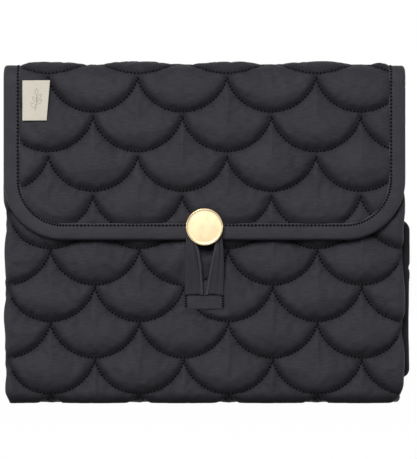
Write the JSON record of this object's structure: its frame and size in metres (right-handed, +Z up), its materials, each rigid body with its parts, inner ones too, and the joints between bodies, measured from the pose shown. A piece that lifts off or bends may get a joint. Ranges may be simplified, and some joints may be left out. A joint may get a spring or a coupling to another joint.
{
  "type": "quilted changing mat clutch",
  "caption": "Padded fabric clutch with a rounded fold-over flap, a round metal button, an elastic loop closure and a folded mat inside.",
  "frame": {"origin": "on the floor, midway along the pouch's width and midway between its front and back faces", "axes": "+X to the right along the width, +Y to the back, +Z up; the flap and button face -Y"},
  "size_m": [0.264, 0.0477, 0.22],
  "materials": {
    "quilted_cover": "charcoal cotton satin, soft sheen",
    "wadding": "matt white polyester wadding",
    "lining": "matt plain-weave cotton",
    "satin_binding": "charcoal cotton satin bias strip",
    "elastic": "braided covered elastic",
    "thread": "matt sewing thread",
    "button_gold": "pale gold, satin polished",
    "rivet_steel": "plain bright steel",
    "label_cotton": "cream woven tape",
    "mat_fabric": "charcoal cotton satin, lightly padded"
  },
  "bodies": {
    "pouch": {"back_panel_cover": "quilted_cover", "back_panel_wadding": "wadding", "back_panel_lining": "lining", "bottom_fold_cover": "quilted_cover", "bottom_fold_wadding": "wadding", "bottom_fold_lining": "lining", "front_panel_cover": "quilted_cover", "front_panel_wadding": "wadding", "front_panel_lining": "lining", "left_side_gusset": "quilted_cover", "pocket_mouth_binding": "satin_binding", "slip_pocket_panel": "lining", "slip_pocket_elastic": "elastic", "loop_anchor_tab": "satin_binding", "loop_bar_stitch": "thread"},
    "top_spine": {"top_spine_cover": "quilted_cover", "top_spine_wadding": "wadding", "top_spine_lining": "lining"},
    "flap": {"flap_cover": "quilted_cover", "flap_wadding": "wadding", "flap_lining": "lining", "flap_binding": "satin_binding", "button_backing_patch": "satin_binding", "button_rivet": "rivet_steel"},
    "button": {"button_cap": "button_gold", "button_collar": "button_gold"},
    "closure_loop": {"closure_loop_tape": "satin_binding", "closure_loop_elastic": "elastic"},
    "label": {"label_ribbon": "label_cotton"},
    "mat": {"mat_back_leaf": "mat_fabric", "mat_middle_leaf": "mat_fabric", "mat_front_leaf": "mat_fabric", "mat_right_fold": "mat_fabric", "mat_left_fold": "mat_fabric", "mat_edge_binding": "satin_binding"}
  },
  "joints": [
    {"name": "top_back_fold", "type": "hinge", "parent": "pouch", "child": "top_spine", "pos_m": [0, 0.01362, 0.21693], "axis": [-1, 0, 0], "range_deg": [0, 90]},
    {"name": "top_front_fold", "type": "hinge", "parent": "top_spine", "child": "flap", "pos_m": [0, -0.02212, 0.21693], "axis": [-1, 0, 0], "range_deg": [0, 90]},
    {"name": "button_swivel", "type": "hinge", "parent": "flap", "child": "button", "pos_m": [0, -0.0294, 0.1145], "axis": [0, 1, 0], "continuous": true},
    {"name": "loop_swing", "type": "hinge", "parent": "pouch", "child": "closure_loop", "pos_m": [0, -0.0177, 0.0711], "axis": [1, 0, 0], "range_deg": [0, 160], "deforming": ["closure_loop_tape", "closure_loop_elastic"]},
    {"name": "label_turn", "type": "hinge", "parent": "flap", "child": "label", "pos_m": [-0.1175, -0.0258, 0.196], "axis": [0, 0, -1], "range_deg": [0, 140]},
    {"name": "mat_slide", "type": "slide", "parent": "pouch", "child": "mat", "axis": [1, 0, 0], "range_m": [-0.004, 0.24]}
  ]
}
